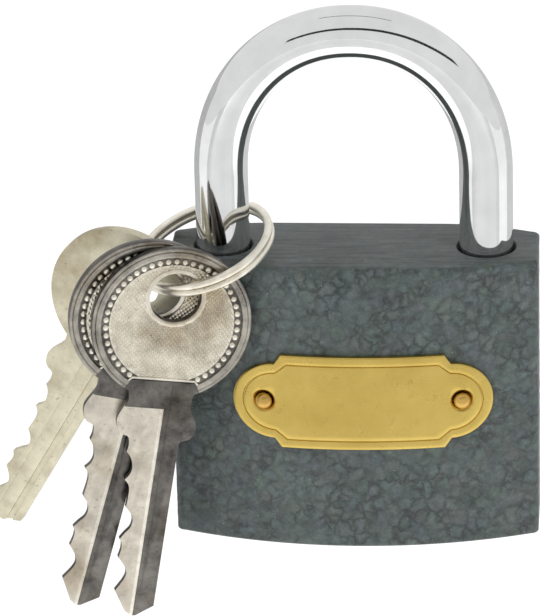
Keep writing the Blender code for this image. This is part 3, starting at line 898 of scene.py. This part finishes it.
def beads(pose, side, material):
    """A row of domes inside the rim, open where the neck joins the bow."""
    made = []
    for i in range(BEADS):
        angle = math.radians(-58.5 + 297.0 * i / (BEADS - 1))
        centre = (BEAD_CIRCLE_R * math.cos(angle), BEAD_CIRCLE_R * math.sin(angle))
        rings = []
        for k in range(6):
            rise = math.pi / 2 * k / 5
            r = max(BEAD_R * math.cos(rise), 0.015)
            height = side * (0.32 + 0.42 * math.sin(rise))
            ring = []
            for m in range(14):
                turn = 2 * math.pi * m / 14
                u = centre[0] + r * math.cos(turn)
                v = centre[1] + r * math.sin(turn)
                ring.append(in_key(pose, u, v, height))
            rings.append(ring)
        made.append(loft("bead", rings, material, 60))
    return made


def bow_relief(pose, side, material):
    """The raised face of a bow: rim, beads, knurled field and the boss round the hole."""
    base = 0.36
    rim = [(10.80, base), (10.86, 0.56), (10.76, 0.63), (10.50, 0.63), (10.42, 0.58)]
    rim += [(10.34, 0.73), (10.24, 0.75), (9.80, 0.75), (9.68, 0.70), (9.58, base)]
    rim = [(r, h * side) for r, h in rim]
    angles = [math.radians(-61.5 + 303.0 * i / 150) for i in range(151)]
    band = loft("rim", swept(pose, rim, 0, angles), material, 30)
    # The rim band takes the darker nickel, which is painted shade.
    for polygon in band.data.polygons:
        polygon.material_index = SLOT_RIM_SHADE
    boss = [(4.24, base), (4.14, 0.64), (4.0, 0.72), (3.70, 0.72), (3.54, 0.62), (3.50, 0.1)]
    boss = [(r, h * side) for r, h in boss]
    angles = [2 * math.pi * i / 72 for i in range(72)]
    collar = loft("boss", swept(pose, boss, HOLE_UP, angles), material, 30, closed=True)
    return [band] + beads(pose, side, material) + [knurled_field(pose, side, material), collar]


def knurled_points(pose, side, material):
    """Small four-sided points in diagonal rows."""
    points = []
    faces = []
    grid = {}

    def spot(i, j):
        return (i - j) * KNURL_PITCH / math.sqrt(2), (i + j) * KNURL_PITCH / math.sqrt(2) * 1.12

    def inside(u, v):
        if math.hypot(u, v) > KNURL_R or math.hypot(u, v - HOLE_UP) < 4.18:
            return False
        return v > KNURL_FLAT + 0.28

    def corner(i, j):
        if (i, j) not in grid:
            grid[(i, j)] = len(points)
            points.append(in_key(pose, *spot(i, j), side * 0.50))
        return grid[(i, j)]

    span = int(KNURL_R / KNURL_PITCH) + 4
    for i in range(-span, span):
        for j in range(-span, span):
            u, v = spot(i + 0.5, j + 0.5)
            if not inside(u, v):
                continue
            corners = [corner(i, j), corner(i + 1, j), corner(i + 1, j + 1), corner(i, j + 1)]
            peak = len(points)
            points.append(in_key(pose, u, v, side * 0.69))
            for a, b in zip(corners, corners[1:] + corners[:1]):
                faces.append([a, b, peak] if side > 0 else [b, a, peak])
    return add_mesh("knurl", points, faces, material, 20, normals=False)


def knurled_field(pose, side, material):
    """The points, on a raised pad with a straight lower edge, a lip and two corner wings."""
    field = knurled_points(pose, side, material)
    rim = KNURL_R + 0.12
    low = math.asin(KNURL_FLAT / rim)
    turns = [low + (math.pi - 2 * low) * k / 90 for k in range(91)]
    outline = [(rim * math.cos(turn), rim * math.sin(turn)) for turn in turns]
    pad = key_solid("pad", pose, outline, 0.3 * side, 0.505 * side, material)
    cut(pad, key_solid("pad_hole", pose, circle(4.0, HOLE_UP, 64), -2, 2))
    lip = rectangle(-4.3, 4.3, KNURL_FLAT - 0.02, KNURL_FLAT + 0.24)
    pieces = [field, pad, key_solid("flat_edge", pose, lip, 0.3 * side, 0.69 * side, material)]
    for sign in (-1, 1):
        wing = [(4.3, 0.24), (4.3, -0.02), (5.1, -0.92), (5.3, -0.7)]
        wing = [(u * sign, KNURL_FLAT + v) for u, v in wing]
        pieces.append(key_solid("wing", pose, wing, 0.3 * side, 0.70 * side, material))
    return join("knurl", pieces)


def paint_blank(blank, pose, side):
    """Gives the milled step's floor its own finish, and paints its sloping wall with the bright
    bow nickel as a painted highlight.
    """
    hole, _, face = pose
    face = face.normalized()
    for polygon in blank.data.polygons:
        centre = Vector(polygon.center) / MM + Vector((0, 0, CROWN_INSIDE)) - hole
        height = centre.dot(face) * side
        level = polygon.normal.dot(face) * side
        if abs(height - STEP_LEVEL) < 0.05 and level > 0.72:
            polygon.material_index = SLOT_MILLED
        # The sloping wall takes the bright bow nickel: a painted highlight.
        elif abs(height - STEP_LEVEL - 0.2) < 0.08 and 0.6 < level < 0.8:
            polygon.material_index = SLOT_BOW_AND_HIGHLIGHT
        else:
            polygon.material_index = SLOT_BLANK


def key_tools(pose, side):
    """What is cut from a blank: the hole, the bow's sunk face, the milled step and the grooves."""
    edge = math.asin(-8.3 / 9.7)
    turns = [edge + (math.pi - 2 * edge) * k / 96 for k in range(97)]
    floor = [(9.7 * math.cos(turn), 9.7 * math.sin(turn)) for turn in turns]
    tools = [key_solid("hole", pose, circle(HOLE_R, HOLE_UP, 72), -3, 3)]
    tools.append(key_solid("sunk", pose, floor, 0.40 * side, 3 * side))
    step = []
    for rise in (0.0, 1.0):
        shape = rectangle(-9, STEP_U + rise, -50, NECK_V)
        step.append([in_key(pose, u, v, (STEP_LEVEL + rise) * side) for u, v in shape])
    tools.append(loft("step", step, None, 30))
    groove = rectangle(1.5, 2.4, -50, NECK_V)
    tools.append(key_solid("groove", pose, groove, -3 * side, -0.36 * side))
    line = rectangle(1.34, 1.46, -33, -8.0)
    tools.append(key_solid("line", pose, line, 0.50 * side, 3 * side))
    return tools


def key_pieces():
    """Keys 1 and 2 show the milled face. Key 3 shows the plain one."""
    for n, pose in enumerate(KEY_POSES, 1):
        plain = n == 3
        side = -1 if plain else 1
        half = 0.62 if plain else 0.56
        low, high = (-half, HALF_THICK) if plain else (-HALF_THICK, half)
        bow = PLAIN_NICKEL if plain else BOW_NICKEL
        blank = key_solid(f"cut_key_{n}", pose, key_outline(), low, high, bow)
        tools = key_tools(pose, side)
        if plain:
            line = rectangle(-0.5, -0.36, -50, -9.0)
            tools.append(key_solid("back_line", pose, line, 0.69, 3))
        cut(blank, *tools)
        soften(blank, 0.09)
        paint_blank(blank, pose, side)
        key = join(f"detailed_key_{n}", [blank] + bow_relief(pose, side, bow))
        for finish in (bow, bow, bow) if plain else (BLANK_NICKEL, MILLED_NICKEL, RIM_SHADE_NICKEL):
            key.data.materials.append(finish)
        smooth(key, 32)
        place(key, f"key_{n}", f"key_{n}", "key_nickel_plain" if plain else "key_nickel")


# ---------------------------------------------------------------- carried nodes

def carried_nodes():
    """New materials for the CAD nodes that keep their own meshes."""
    steel = ("driver", "pin_spring", "bolt", "shackle_spring", "shackle_ret", "plug_ret")
    for name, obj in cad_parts.items():
        if name.startswith("chamber_plug"):
            finish = PAINT
        elif name.startswith("key_pin"):
            finish = PLUG_BRASS
        elif name.startswith(steel):
            finish = STEEL
        else:
            continue
        for slot in obj.material_slots:
            slot.material = finish


# ---------------------------------------------------------------- stage

def aimed(name, data, place):
    """Puts a light or a card in the scene, facing the middle of the lock."""
    obj = bpy.data.objects.new(name, data)
    bpy.context.scene.collection.objects.link(obj)
    obj.location = place
    obj.rotation_euler = (STAGE_MIDDLE - Vector(place)).to_track_quat("-Z", "Y").to_euler()
    return obj


def flat_mesh(name, wide, high):
    mesh = bpy.data.meshes.new(name)
    w = wide / 2
    h = high / 2
    mesh.from_pydata([(-w, -h, 0), (w, -h, 0), (w, h, 0), (-w, h, 0)], [], [[0, 1, 2, 3]])
    return mesh


def add_light(name, place, power):
    """A square soft light that reflections don't show."""
    data = bpy.data.lights.new(name, "AREA")
    data.shape = "RECTANGLE"
    data.size = LIGHT_SIDE
    data.size_y = LIGHT_SIDE
    data.energy = power
    aimed(name, data, place).visible_glossy = False


def add_card(name, place, size, shade):
    """A flat card that only reflections see."""
    mesh = flat_mesh(name, *size)
    obj = aimed(name, mesh, place)
    s = Shader(name, (shade, shade, shade), 0.0, 0.9)
    s.finish(s.ramp(s.noise(3.0), ((0.3, shade * 0.95), (0.7, shade * 1.05))))
    mesh.materials.append(s.material)
    obj.visible_camera = False
    obj.visible_shadow = False
    obj.visible_diffuse = False


def stage():
    """Plain floor, pale surroundings, two soft lights, and cards for the chrome to reflect."""
    floor = flat_mesh("floor", FLOOR_SIDE, FLOOR_SIDE)
    obj = bpy.data.objects.new("floor", floor)
    bpy.context.scene.collection.objects.link(obj)
    obj.location = (0, 0, FLOOR_Z)
    floor.materials.append(floor_material())
    world = bpy.data.worlds.new("studio")
    world.use_nodes = True
    world.node_tree.nodes["Background"].inputs["Color"].default_value = (1.0, 1.0, 1.0, 1)
    world.node_tree.nodes["Background"].inputs["Strength"].default_value = 0.85
    bpy.context.scene.world = world
    bpy.context.scene.view_settings.view_transform = "Standard"
    add_light("key_light", (0.45, -0.75, 0.35), 6.0)
    add_light("fill_light", (-0.60, -0.60, 0.10), 2.4)
    add_card("dark_camera", (0.22, -0.72, 0.56), (1.7, 0.15), 0.015)
    add_card("front_low", (0.0, -0.62, -0.33), (1.9, 0.5), 0.78)
    add_card("dark_overhead", (0.0, 0.05, 0.75), (0.50, 0.03), 0.03)
    add_card("grey_left", (-0.45, 0.45, -0.22), (0.8, 0.6), 0.42)
    add_card("grey_right", (0.45, 0.45, -0.22), (0.8, 0.6), 0.55)


def camera():
    """Looks down at the front from 25 degrees, with a slight roll, from 0.71 m away."""
    rise = math.radians(CAMERA_RISE)
    turn = math.radians(CAMERA_TURN)
    roll = math.radians(CAMERA_ROLL)
    target = Vector((0, 0, -0.03745))
    right = Vector((math.cos(turn), math.sin(turn), 0))
    level = Vector((math.sin(turn), -math.cos(turn), 0))
    back = level * math.cos(rise) + Vector((0, 0, 1)) * math.sin(rise)
    up = back.cross(right)
    across = right * math.cos(roll) + up * math.sin(roll)
    upward = up * math.cos(roll) - right * math.sin(roll)
    eye = target + back * CAMERA_AWAY
    aim = target - across * 0.01106 + upward * 0.00046
    back = (eye - aim).normalized()
    across = upward.cross(back).normalized()
    upward = back.cross(across)
    data = bpy.data.cameras.new("camera")
    data.sensor_width = 36.0
    data.lens = CAMERA_LENS
    data.sensor_fit = "HORIZONTAL"
    data.clip_start = 0.01
    data.clip_end = 20.0
    obj = bpy.data.objects.new("camera", data)
    bpy.context.scene.collection.objects.link(obj)
    turned = Matrix((across, upward, back)).transposed().to_4x4()
    obj.matrix_world = Matrix.Translation(eye) @ turned
    bpy.context.scene.camera = obj


camera()
body_piece()
shackle_piece()
plate_piece()
rivet_pieces()
plug_piece()
ring_piece()
key_pieces()
carried_nodes()
stage()
